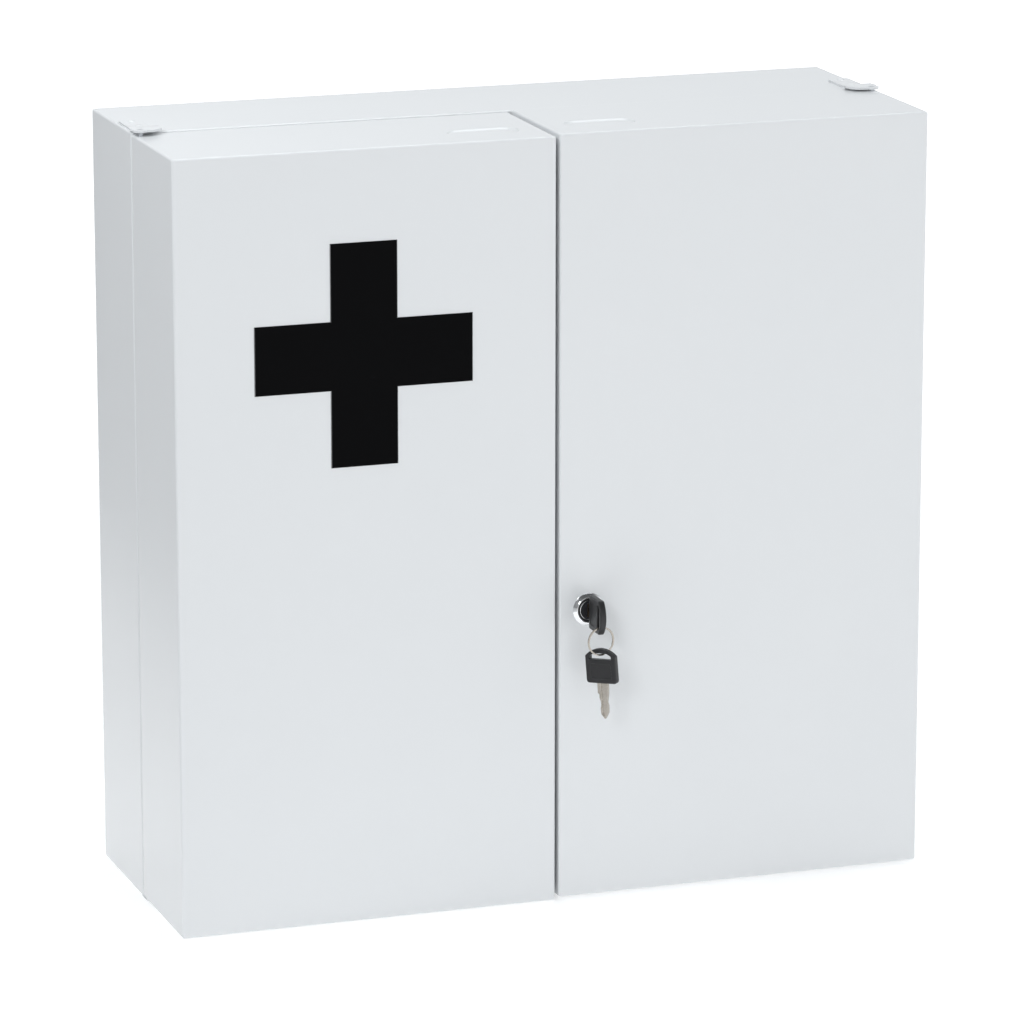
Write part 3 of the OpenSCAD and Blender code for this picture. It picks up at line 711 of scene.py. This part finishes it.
def lofted(loops, offset=(0, 0, 0)):
    """A closed solid through a stack of outlines with equal numbers of points."""
    form = bmesh.new()
    rings = [[form.verts.new(Vector(p) + Vector(offset)) for p in loop] for loop in loops]
    for low, high in zip(rings, rings[1:]):
        for i in range(len(low)):
            j = (i + 1) % len(low)
            form.faces.new((low[i], low[j], high[j], high[i]))
    form.faces.new(rings[0][::-1])
    form.faces.new(rings[-1])
    return form


def grip_tool(at, top):
    """The pressing of the finger grip: a flared rim, steep sides and a rounded floor."""
    loops = []
    for grow, depth in GRIP_PROFILE:
        loops.append(oblong(GRIP_LENGTH + 2 * grow * MM, GRIP_WIDTH + 2 * grow * MM, -depth * MM))
    return lofted(loops, (at[0], at[1], top))


def door_form(side, lo, hi):
    form, steps = folded_box(lo, hi, DOOR_FLANGE, False)
    grip = (side * GRIP_AT[0], lo[1] + GRIP_AT[1])
    long, wide = GRIP_LENGTH + 2 * SHEET, GRIP_WIDTH + 2 * SHEET
    outlines = [oblong(long, wide, -depth * MM) for depth in GRIP_SHELL_DEPTHS]
    steps.append(("UNION", lofted(outlines, (grip[0], grip[1], hi[2]))))
    steps.append(("DIFFERENCE", grip_tool(grip, hi[2])))
    pin = (side * PIN_AT[0], PIN_AT[1])
    notch_height = PAST_THE_SHEET + lo[2] + SHEET + NOTCH_CUT
    steps.append(("DIFFERENCE", rod((*pin, -PAST_THE_SHEET), NOTCH_RADIUS, notch_height, sides=96)))
    steps.append(("DIFFERENCE", rod((*pin, PIN_HOLE_START), PIN_RADIUS + PIN_ROOM, PIN_HOLE_LENGTH)))
    steps.append(("DIFFERENCE", block(*CAM_WINDOW)))
    if side > 0:
        front = (LOCK_AT[0], lo[1] - PAST_THE_SHEET, LOCK_AT[1])
        steps.append(("DIFFERENCE", rod(front, LOCK_HOLE_RADIUS, LOCK_HOLE_DEPTH, "Y")))
    return carved(form, steps)


DOOR_SHEET = ("face", "end_walls", "side_walls", "slot_ends", "flange")
for side, word, wave_seed in ((-1, "left", 1.3), (1, "right", 9.4)):
    lo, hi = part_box(word + "_door_end_walls")
    new_piece(
        word + "_door_sheet",
        finished_mesh(door_form(side, lo, hi), word + "_door_sheet"),
        word + "_door",
        white_paint("white_paint_" + word + "_door", wave_seed),
        [word + "_door_" + part for part in DOOR_SHEET],
    )
    for i in (1, 2, 3):
        eased("%s_door_shelf_%d" % (word, i), inner_white, 0.25 * MM)


# The cross: plain black film, cut out and stuck on the left door. Its bevelled upright edges are painted
# grey, a painted highlight for the light that they catch.
CROSS_BEVEL = 0.45 * MM
FILM_BLACK = (0.0012, 0.0012, 0.0016)
FILM_WORN = (0.0022, 0.0022, 0.0026)
PAINTED_HIGHLIGHT_DIM = (0.10, 0.10, 0.105)
PAINTED_HIGHLIGHT_GREY = (0.22, 0.22, 0.225)
UPRIGHT_EDGE = 0.3
film = Finish("black_film")
film_cloud = film.cloud(scale=14.0, detail=2.0)
film_peel = film.cloud(scale=900.0, detail=1.0)
film.set(
    Base_Color=film.tint(film_cloud, FILM_BLACK, FILM_WORN),
    Roughness=0.30 + 0.10 * film_cloud,
    Normal=film.bump(film_peel, strength=0.05, distance=0.1 * MM),
    Specular_IOR_Level=0.04,
)
# painted highlight: a grey colour for the cross's upright edges
edge_highlight_finish = Finish("black_film_painted_highlight")
highlight_cloud = edge_highlight_finish.cloud(scale=500.0, detail=2.0)
edge_highlight_finish.set(
    Base_Color=edge_highlight_finish.tint(highlight_cloud, PAINTED_HIGHLIGHT_DIM, PAINTED_HIGHLIGHT_GREY),
    Roughness=0.4 + 0.2 * highlight_cloud,
)
cross_lo, cross_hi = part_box("cross_sign")
ARM = 46.5 * MM / 2


def cross_form():
    reach = (cross_hi[0] - cross_lo[0]) / 2
    middle = (cross_lo + cross_hi) / 2
    outline = []
    for turn in range(4):
        for x, z in ((ARM, ARM), (ARM, reach), (-ARM, reach)):
            for _ in range(turn):
                x, z = -z, x
            outline.append((x, z))
    loops = []
    back, front = cross_hi[1], cross_lo[1]
    for y, shrink in ((back, 0.0), (front + CROSS_BEVEL, 0.0), (front, CROSS_BEVEL)):
        loops.append([(x - math.copysign(shrink, x), y, z - math.copysign(shrink, z)) for x, z in outline])
    return lofted(loops, (middle[0], 0, middle[2]))


cross = new_piece(
    "cross_film",
    finished_mesh(cross_form(), "cross_film"),
    "left_door",
    film.material,
    ["cross_sign"],
)
cross.data.materials.append(edge_highlight_finish.material)
# painted highlight: faces on the upright edges take the grey material
for face in cross.data.polygons:
    face.material_index = int(abs(face.normal[0]) > UPRIGHT_EDGE)


# The lock: a chromed rosette round a black lacquered cylinder. Its plug turns in the cylinder and takes
# the key in a slot with bare bronze edges.
CHROME = (0.90, 0.905, 0.91)
CHROME_HAZY = (0.80, 0.81, 0.83)
LACQUER_BLACK = (0.010, 0.010, 0.012)
LACQUER_SPECK = (0.026, 0.026, 0.030)
TURNED_SHARPNESS = 30


def polished_chrome(name):
    chrome = Finish(name)
    haze = chrome.cloud(scale=300.0, detail=4.0)
    return chrome.set(
        Base_Color=chrome.tint(haze, CHROME_HAZY, CHROME),
        Metallic=1.0,
        Roughness=0.05 + 0.07 * haze,
        Normal=chrome.bump(haze, strength=0.03, distance=0.1 * MM),
    )


def black_lacquer(name):
    lacquer = Finish(name)
    speck = lacquer.cloud(scale=900.0, detail=3.0)
    return lacquer.set(
        Base_Color=lacquer.tint(speck, LACQUER_BLACK, LACQUER_SPECK),
        Metallic=0.0,
        Roughness=0.24 + 0.16 * speck,
        Normal=lacquer.bump(speck, strength=0.08, distance=0.1 * MM),
    )


LOCK_FACE = (LOCK_AT[0], -150 * MM, LOCK_AT[1])
ROSETTE = [
    (8.36, 0.0), (11.3, 0.0), (11.4, -0.1), (11.4, -0.4), (11.34, -0.56), (11.2, -0.7), (10.4, -1.4),
    (9.5, -2.15), (9.2, -2.38), (8.95, -2.53), (8.75, -2.58), (8.55, -2.55), (8.42, -2.45), (8.36, -2.3),
]
new_piece(
    "lock_rosette_chrome",
    finished_mesh(turned(ROSETTE, LOCK_FACE), "lock_rosette_chrome", TURNED_SHARPNESS),
    "right_door",
    polished_chrome("chrome_trim"),
    ["lock_rosette"],
)
lacquer = black_lacquer("black_lacquer")
HOUSING = [
    (7.08, -2.25), (7.2, -2.38), (7.4, -2.4), (7.95, -2.4), (8.15, -2.32), (8.25, -2.15), (8.3, -1.9),
    (8.3, 5.8), (8.15, 6.1), (8.3, 6.4), (8.3, 21.6), (8.0, 22.0), (7.3, 22.0), (7.08, 21.8),
]
new_piece(
    "lock_cylinder",
    finished_mesh(turned(HOUSING, LOCK_FACE), "lock_cylinder", TURNED_SHARPNESS),
    "right_door",
    lacquer,
    ["lock_housing"],
)
PLUG_FRONT = -152.3
PLUG_BACK = -127.0
CAM_BACK = -124.3
PLUG_STEPS = 96
PLUG_PROFILE = (
    (0.6, 0.12), (6.35, 0.12), (6.5, 0.02), (6.72, 0.0), (6.9, 0.06), (7.0, 0.22), (7.0, 25.1),
    (6.8, 25.3), (3.6, 25.3),
)
DRIVE_SIDE = 7.0
DRIVE_ROUNDING = 0.3 * MM
SCREW_HOLE_RADIUS = 2.05 * MM
SCREW_HOLE_START = -130.5
SCREW_HOLE_LENGTH = 20 * MM
KEYWAY_CHAMFER = 0.3
KEYWAY_BACK = -131.2
KEYWAY = (
    (-1.0, 4.0, 9.9), (0.1, 3.5, 9.5), (0.6, 2.7, 9.0), (1.2, 2.3, 8.7),
    (KEYWAY_BACK - PLUG_FRONT, 2.3, 8.7),
)


def plug_form():
    """The turned plug with its square drive, the keyway broached in its face and the screw's hole."""
    form = bmesh.new()
    x, z = LOCK_AT
    rings = []
    for radius, depth in PLUG_PROFILE:
        y = (PLUG_FRONT + depth) * MM
        ring = []
        for i in range(PLUG_STEPS):
            angle = 2 * math.pi * i / PLUG_STEPS
            u, v = radius * math.cos(angle), radius * math.sin(angle)
            ring.append(form.verts.new((x + u * MM, y, z + v * MM)))
        rings.append(ring)
    for low, high in zip(rings, rings[1:]):
        for i in range(PLUG_STEPS):
            j = (i + 1) % PLUG_STEPS
            form.faces.new((low[i], low[j], high[j], high[i]))
    form.faces.new(rings[0])
    form.faces.new(rings[-1][::-1])
    half = DRIVE_SIDE / 2 * MM
    drive_front, drive_back = (PLUG_BACK - 1) * MM, CAM_BACK * MM
    drive = block((x - half, drive_front, z - half), (x + half, drive_back, z + half), DRIVE_ROUNDING, 2)
    loops = []
    for depth, wide, high in KEYWAY:
        a, b, c = wide / 2, high / 2, KEYWAY_CHAMFER
        right_side = [(a, c - b), (a, b - c), (a - c, b)]
        left_side = [(c - a, b), (-a, b - c), (-a, c - b)]
        corners = [*right_side, *left_side, (c - a, -b), (a - c, -b)]
        loops.append([(x + u * MM, (PLUG_FRONT + depth) * MM, z + v * MM) for u, v in corners])
    slot = lofted(loops)
    screw_hole = rod((x, SCREW_HOLE_START * MM, z), SCREW_HOLE_RADIUS, SCREW_HOLE_LENGTH, "Y", 32)
    return carved(form, [("UNION", drive), ("DIFFERENCE", slot), ("DIFFERENCE", screw_hole)])


BRONZE = (0.62, 0.47, 0.30)
BRONZE_DARK = (0.30, 0.20, 0.11)


def bronze_edge(name):
    bronze = Finish(name)
    rub = bronze.cloud(scale=900.0, detail=4.0, roughness=0.65)
    return bronze.set(
        Base_Color=bronze.tint(rub, BRONZE_DARK, BRONZE),
        Metallic=1.0,
        Roughness=0.22 + 0.25 * rub,
        Normal=bronze.bump(rub, strength=0.12, distance=0.1 * MM),
    )


plug = new_piece(
    "lock_plug_turned",
    finished_mesh(plug_form(), "lock_plug_turned", TURNED_SHARPNESS),
    "plug",
    lacquer,
    ["lock_plug"],
)
plug.data.materials.append(polished_chrome("plug_rim"))
plug.data.materials.append(bronze_edge("keyway_brass"))
RIM_INDEX, KEYWAY_INDEX = 1, 2
KEYWAY_HALF_WIDTH = 1.8 * MM
KEYWAY_HALF_HEIGHT = 4.8 * MM
KEYWAY_DEPTHS = (0.13 * MM, 22 * MM)
KEYWAY_REACH = 5 * MM
RIM_RADIUS = 6.6 * MM
RIM_DEPTH = 0.2 * MM
for face in plug.data.polygons:
    across, up = face.center[0] - LOCK_AT[0], face.center[2] - LOCK_AT[1]
    radius = math.hypot(across, up)
    depth = face.center[1] - PLUG_FRONT * MM
    in_keyway = abs(across) < KEYWAY_HALF_WIDTH and abs(up) < KEYWAY_HALF_HEIGHT and radius < KEYWAY_REACH
    if in_keyway and KEYWAY_DEPTHS[0] < depth < KEYWAY_DEPTHS[1]:
        face.material_index = KEYWAY_INDEX
    elif radius > RIM_RADIUS and depth < RIM_DEPTH:
        face.material_index = RIM_INDEX


# The keys: nickel-plated blades with a moulded black head over the end. One is in the lock and the other
# hangs below it on a split ring, worn bright where they rub.
HEAD_WIDTH = 23.4
HEAD_LENGTH = 24.0
HEAD_THICK = 4.4
HEAD_BAR = 3.0
SLOT_WIDTH = 4.5
SHOULDER = 18.8
SLOT_HALF = 8.3
CROWN_STEPS = 15
HEAD_CORNER = 2.5
SHOULDER_CORNER = 1.0
HEAD_ROUNDING = ((0.0, 0.9), (0.12, 0.5), (0.4, 0.18), (0.9, 0.0))
SLOT_TOP = ((SLOT_HALF, 18.8), (5.2, 20.5), (0, 20.9), (-5.2, 20.5), (-SLOT_HALF, 18.8))
SLOT_CORNERS = (0.5, 0.5, 0.9, 2, 4, 2, 0.9)
SLOT_FLARE = ((-0.1, -0.75), (0.0, -0.6), (0.2, -0.25), (0.6, 0.0))
PANEL_BORDER = 3.6
PANEL_GAP = 3.0
PANEL_CORNER = 1.4
PANEL_SINK = ((0.3, -0.3), (0.0, -0.1), (-0.3, 0.1), (-0.45, 0.45))
BLADE_LENGTH = 24.7
BLADE_THICK = 2.0
BLADE_TIP_HALF = 0.2
BLADE_CHAMFERS = (0.16, 0.14)
BLADE_RIGHT_EDGE = (
    (2.9, -20.4), (3.0, -18.0), (3.2, -15.3), (2.56, -13.3), (3.0, -11.0), (3.8, -7.0), (3.95, -4.0),
    (4.2, 0.0),
)
BLADE_LEFT_EDGE = (
    (-4.2, 0.0), (-4.2, -7.0), (-3.1, -8.0), (-3.2, -10.4), (-2.4, -12.6), (-2.2, -15.0), (-2.8, -17.5),
    (-2.7, -21.6),
)
GROOVE_OFFSET = 0.9
GROOVE_SECTION = ((-0.8, 0.05), (-0.3, -0.6), (0.3, -0.6), (0.8, 0.05))
GROOVE_ENDS = (1.0, -22.4)
NICKEL = (0.55, 0.51, 0.46)
NICKEL_WORN = (0.34, 0.31, 0.27)
LENGTHWISE = (6, 1, 0.25)
HEAD_BLACK = (0.007, 0.0068, 0.0078)
HEAD_RUBBED = (0.018, 0.0175, 0.019)
KEY_SHARPNESS = 35


def key_nickel(name, base_roughness):
    nickel = Finish(name)
    wear = nickel.cloud(scale=260.0, detail=5.0, roughness=0.65)
    strokes = nickel.cloud(scale=420.0, detail=3.0, roughness=0.6, vector=nickel.stretched(LENGTHWISE))
    return nickel.set(
        Base_Color=nickel.tint(wear, NICKEL_WORN, NICKEL),
        Metallic=0.92,
        Roughness=base_roughness + 0.16 * strokes,
        Normal=nickel.bump(strokes + 0.5 * wear, strength=0.10, distance=0.1 * MM),
    )


def head_plastic(name):
    moulding = Finish(name)
    grain = moulding.cloud(scale=2600.0, detail=2.0)
    rub = moulding.cloud(scale=140.0, detail=4.0, roughness=0.6)
    return moulding.set(
        Base_Color=moulding.tint(rub, HEAD_BLACK, HEAD_RUBBED),
        Roughness=0.26 + 0.16 * rub,
        Normal=moulding.bump(grain, strength=0.10, distance=0.08 * MM),
    )


def arc_corners(points, radii, steps=6):
    """Rounds each corner of a convex outline by its own radius; a corner with radius 0 stays a point."""
    result = []
    count = len(points)
    for i, (corner, radius) in enumerate(zip(points, radii)):
        here = Vector(corner)
        if radius == 0:
            result.append(here)
            continue
        before = (Vector(points[i - 1]) - here).normalized()
        after = (Vector(points[(i + 1) % count]) - here).normalized()
        half_angle = before.angle(after) / 2
        reach = radius / math.tan(half_angle)
        start, end = here + before * reach, here + after * reach
        for step in range(steps + 1):
            t = step / steps
            result.append((1 - t) ** 2 * start + 2 * t * (1 - t) * here + t**2 * end)
    return result


def inset(points, distance):
    """Moves an outline inwards by a small distance along its normals; points run anticlockwise."""
    moved = []
    count = len(points)
    for i, point in enumerate(points):
        along = (points[(i + 1) % count] - points[i - 1]).normalized()
        moved.append(point + Vector((-along[1], along[0])) * distance)
    return moved


def layered(outline, layers):
    """A solid whose outline is inset by its own distance at each height (y)."""
    return lofted([[(p[0] * MM, y * MM, p[1] * MM) for p in inset(outline, d)] for y, d in layers])


def key_head_form():
    half = HEAD_WIDTH / 2
    rise = HEAD_LENGTH - SHOULDER
    crown_r = (half**2 + rise**2) / (2 * rise)
    spread = math.asin(half / crown_r)
    crown = []
    for i in range(1, CROWN_STEPS + 1):
        angle = spread * (1 - 2 * i / (CROWN_STEPS + 1))
        crown.append((crown_r * math.sin(angle), HEAD_LENGTH - crown_r * (1 - math.cos(angle))))
    corners = [(-half, 0), (half, 0), (half, SHOULDER), *crown, (-half, SHOULDER)]
    radii = [HEAD_CORNER, HEAD_CORNER, SHOULDER_CORNER, *[0] * CROWN_STEPS, SHOULDER_CORNER]
    outline = arc_corners(corners, radii)
    t = HEAD_THICK / 2
    layers = [(y - t, d) for y, d in HEAD_ROUNDING] + [(t - y, d) for y, d in reversed(HEAD_ROUNDING)]
    low = HEAD_LENGTH - HEAD_BAR - SLOT_WIDTH
    slot = arc_corners([(-SLOT_HALF, low), (SLOT_HALF, low), *SLOT_TOP], SLOT_CORNERS)
    slot_layers = [(y - t, d) for y, d in SLOT_FLARE] + [(t - y, d) for y, d in reversed(SLOT_FLARE)]
    side, top = half - PANEL_BORDER, low - PANEL_GAP
    panel_corners = [(-side, PANEL_GAP), (side, PANEL_GAP), (side, top), (-side, top)]
    panel = arc_corners(panel_corners, [PANEL_CORNER] * len(panel_corners))
    steps = [("DIFFERENCE", layered(slot, slot_layers))]
    for face in (-1, 1):
        panel_layers = [(face * (t + y), d) for y, d in PANEL_SINK[:: -face]]
        steps.append(("DIFFERENCE", layered(panel, panel_layers)))
    return carved(layered(outline, layers), steps)


def key_blade_form():
    tip = [(-BLADE_TIP_HALF, -BLADE_LENGTH), (BLADE_TIP_HALF, -BLADE_LENGTH)]
    outline = [Vector(point) for point in (*BLADE_LEFT_EDGE, *tip, *BLADE_RIGHT_EDGE)]
    t = BLADE_THICK / 2
    inwards, down = BLADE_CHAMFERS
    layers = ((-t, inwards), (-t + down, 0.0), (t - down, 0.0), (t, inwards))
    steps = []
    for face in (-1, 1):
        groove = bmesh.new()
        section = [(GROOVE_OFFSET * face + x, face * (t + y)) for x, y in GROOVE_SECTION]
        rings = [[groove.verts.new((x * MM, y * MM, z * MM)) for x, y in section] for z in GROOVE_ENDS]
        for i in range(len(section)):
            j = (i + 1) % len(section)
            groove.faces.new((rings[0][i], rings[0][j], rings[1][j], rings[1][i]))
        groove.faces.new(rings[0][::-1])
        groove.faces.new(rings[1])
        steps.append(("DIFFERENCE", groove))
    return carved(layered(outline, layers), steps)


KEY_MOUTH = Vector((22.4, -156.0, 204.0)) * MM
BAR_AT = Vector((22.4, -174.525, 193.8)) * MM
RING_RADIUS = 10.0
RING_WIRE = 1.2
RING_TURN_SHIFT = 0.29
RING_HALF_FLAT = 0.27
RING_EDGE_HALF = 0.17
RING_ROUNDING = 0.12
RING_ROOM = 0.02
RING_STEPS = 260
RING_STEP_ANGLE = math.radians(26)
RING_START = 2.4
RING_SHARPNESS = 50
RING_DROP = 6.0373
RING_YAW = math.radians(9)
RING_AT = BAR_AT + Vector((0, 0, -RING_DROP)) * MM
SPARE_YAW = math.radians(-50)
SPARE_LEAN = math.radians(5)
SPARE_ROOM = 0.45
ring_inner = RING_RADIUS - RING_WIRE
crossing = (HEAD_THICK / 2 + RING_WIRE / 4) / math.sin(RING_YAW - SPARE_YAW)
spare_drop = math.sqrt(ring_inner**2 - crossing**2) - SPARE_ROOM
in_lock = (
    Matrix.Translation(KEY_MOUTH)
    @ Matrix.Rotation(QUARTER_TURN, 4, "X")
    @ Matrix.Rotation(QUARTER_TURN, 4, "Z")
)
on_ring = (
    Matrix.Translation(RING_AT - Vector((0, 0, spare_drop * MM)))
    @ Matrix.Rotation(SPARE_YAW, 4, "Z")
    @ Matrix.Rotation(-SPARE_LEAN, 4, "Y")
    @ Matrix.Translation((0, 0, (HEAD_BAR - HEAD_LENGTH) * MM))
)
BLADE_ROUGHNESS = 0.18
RING_ROUGHNESS = 0.12
nickel = key_nickel("key_nickel", BLADE_ROUGHNESS)
plastic = head_plastic("key_head_plastic")
for prefix, body, place in (("", "key", in_lock), ("spare_", "spare_key", on_ring)):
    for part, form, slot, material in (
        ("key_head", key_head_form(), "black_plastic", plastic),
        ("key_blade", key_blade_form(), "nickel", nickel),
    ):
        form.transform(place)
        name = prefix + part + "_moulded" if part == "key_head" else prefix + part + "_cut"
        new_piece(name, finished_mesh(form, name, KEY_SHARPNESS), body, material, [prefix + part])


def split_ring_form():
    """Two turns of flat wire side by side, with the step where one turn passes into the other."""
    start, end = RING_STEP_ANGLE, 4 * math.pi - RING_STEP_ANGLE
    wide = RING_WIRE / 2 - RING_ROOM
    narrow = wide - RING_ROUNDING
    edge, flat_side = RING_EDGE_HALF, RING_HALF_FLAT
    front = [(-wide, -edge), (-narrow, -flat_side), (narrow, -flat_side), (wide, -edge)]
    section = front + [(across, -flat) for across, flat in reversed(front)]
    middle = RING_RADIUS - RING_WIRE / 2
    form = bmesh.new()
    rings = []
    for i in range(RING_STEPS + 1):
        angle = start + (end - start) * i / RING_STEPS
        t = min(1.0, max(0.0, (angle - 2 * math.pi + RING_STEP_ANGLE) / (2 * RING_STEP_ANGLE)))
        shift = RING_TURN_SHIFT * (2 * (t * t * (3 - 2 * t)) - 1)
        ring = []
        for across, flat in section:
            x, z = (middle + across) * math.sin(angle), (middle + across) * math.cos(angle)
            ring.append(form.verts.new((x * MM, (shift + flat) * MM, z * MM)))
        rings.append(ring)
    for low, high in zip(rings, rings[1:]):
        for i in range(len(section)):
            j = (i + 1) % len(section)
            form.faces.new((low[i], low[j], high[j], high[i]))
    form.faces.new(rings[0])
    form.faces.new(rings[-1])
    turn = Matrix.Rotation(RING_YAW, 4, "Z") @ Matrix.Rotation(RING_START, 4, "Y")
    form.transform(Matrix.Translation(RING_AT) @ turn)
    return form


new_piece(
    "split_ring",
    finished_mesh(split_ring_form(), "split_ring", RING_SHARPNESS),
    "ring",
    key_nickel("ring_nickel", RING_ROUGHNESS),
    ["key_ring"],
)
